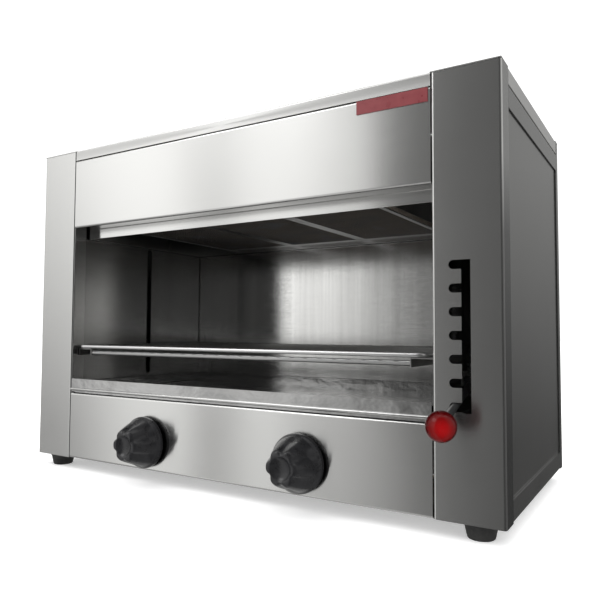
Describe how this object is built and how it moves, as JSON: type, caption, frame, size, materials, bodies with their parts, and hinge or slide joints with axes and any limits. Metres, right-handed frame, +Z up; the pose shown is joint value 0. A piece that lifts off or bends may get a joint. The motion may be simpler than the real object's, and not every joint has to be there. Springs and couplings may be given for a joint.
{
  "type": "countertop gas salamander broiler",
  "caption": "Countertop stainless gas salamander broiler: open-front grill chamber with overhead infrared burners, a lever-raised wire rack, a drip tray and round control knobs.",
  "frame": {"origin": "centre of the bounding box, at the underside of the feet", "axes": "+X to the right as seen by the cook, +Y from the open front to the back, +Z up"},
  "size_m": [0.7, 0.412, 0.475],
  "materials": {
    "brushed_stainless": "horizontally brushed stainless steel",
    "casing_stainless": "satin stainless steel",
    "polished_stainless": "polished stainless steel",
    "sheet_steel": "plain folded steel",
    "burner_ceramic": "porous ceramic tile",
    "burner_mesh": "heat-darkened wire mesh in a bright rim",
    "gas_brass": "machined brass",
    "supply_pipe_aluminium": "drawn tube",
    "bright_steel": "ground bright steel",
    "grid_chrome": "plated wire",
    "knob_black": "black phenolic",
    "lever_black": "black coated steel rod",
    "ball_red": "glossy red phenolic",
    "foot_rubber": "black rubber",
    "badge_red": "plain red enamel plate"
  },
  "bodies": {
    "chassis": {"lower_fascia": "brushed_stainless", "upper_fascia": "brushed_stainless", "top_cover": "brushed_stainless", "pillar_left": "brushed_stainless", "pillar_right": "brushed_stainless", "burner_hood": "brushed_stainless", "base_pan": "casing_stainless", "side_panel_left": "casing_stainless", "side_panel_right": "casing_stainless", "side_rail_left": "casing_stainless", "side_rail_right": "casing_stainless", "rear_cover": "casing_stainless", "cavity_wall_left": "polished_stainless", "cavity_wall_right": "polished_stainless", "cavity_back": "polished_stainless", "cavity_floor": "polished_stainless", "burner_left": "sheet_steel", "burner_right": "sheet_steel", "mixing_tube_left": "sheet_steel", "mixing_tube_right": "sheet_steel", "rod_bracket_left": "sheet_steel", "rod_bracket_right": "sheet_steel", "ceramic_left": "burner_ceramic", "ceramic_right": "burner_ceramic", "guard_left": "burner_mesh", "guard_centre": "burner_mesh", "guard_right": "burner_mesh", "injector_left": "gas_brass", "injector_right": "gas_brass", "gas_manifold": "gas_brass", "gas_inlet": "gas_brass", "gas_valve_left": "gas_brass", "gas_valve_right": "gas_brass", "supply_pipe_left": "supply_pipe_aluminium", "supply_pipe_right": "supply_pipe_aluminium", "guide_rod_left": "bright_steel", "guide_rod_right": "bright_steel", "foot_front_left": "foot_rubber", "foot_front_right": "foot_rubber", "foot_rear_left": "foot_rubber", "foot_rear_right": "foot_rubber", "badge_plate": "badge_red"},
    "lift": {"carriage_left": "sheet_steel", "carriage_right": "sheet_steel", "lift_rail_left": "sheet_steel", "lift_rail_right": "sheet_steel", "lift_rod_front": "grid_chrome", "lift_rod_rear": "grid_chrome", "lever_pin": "bright_steel", "lever_spring": "bright_steel"},
    "grid": {"rack_grid": "grid_chrome"},
    "lever": {"lever_arm": "lever_black", "lever_ball": "ball_red"},
    "tray": {"drip_tray": "polished_stainless"},
    "plunger_left": {"valve_plunger_left": "bright_steel"},
    "plunger_right": {"valve_plunger_right": "bright_steel"},
    "control_left": {"spindle_left": "bright_steel", "knob_left": "knob_black"},
    "control_right": {"spindle_right": "bright_steel", "knob_right": "knob_black"}
  },
  "joints": [
    {"name": "rack_lift", "type": "slide", "parent": "chassis", "child": "lift", "axis": [0, 0, 1], "range_m": [0, 0.1422]},
    {"name": "grid_slide", "type": "slide", "parent": "lift", "child": "grid", "axis": [0, -1, 0], "range_m": [0, 0.15]},
    {"name": "lever_swing", "type": "hinge", "parent": "lift", "child": "lever", "pos_m": [0.3005, -0.09, 0.1497], "axis": [0, 0, 1], "range_deg": [0, 11.9], "stiffness_Nm_per_rad": 0.6, "springref_deg": -8.59},
    {"name": "tray_slide", "type": "slide", "parent": "chassis", "child": "tray", "axis": [0, -1, 0], "range_m": [0, 0.2]},
    {"name": "knob_push_left", "type": "slide", "parent": "chassis", "child": "plunger_left", "axis": [0, 1, 0], "range_m": [0, 0.0025], "stiffness_N_per_m": 1200, "springref_m": -0.002},
    {"name": "knob_turn_left", "type": "hinge", "parent": "plunger_left", "child": "control_left", "pos_m": [-0.121, -0.15, 0.055], "axis": [0, -1, 0], "range_deg": [0, 180]},
    {"name": "knob_push_right", "type": "slide", "parent": "chassis", "child": "plunger_right", "axis": [0, 1, 0], "range_m": [0, 0.0025], "stiffness_N_per_m": 1200, "springref_m": -0.002},
    {"name": "knob_turn_right", "type": "hinge", "parent": "plunger_right", "child": "control_right", "pos_m": [0.121, -0.15, 0.055], "axis": [0, -1, 0], "range_deg": [0, 180]}
  ]
}
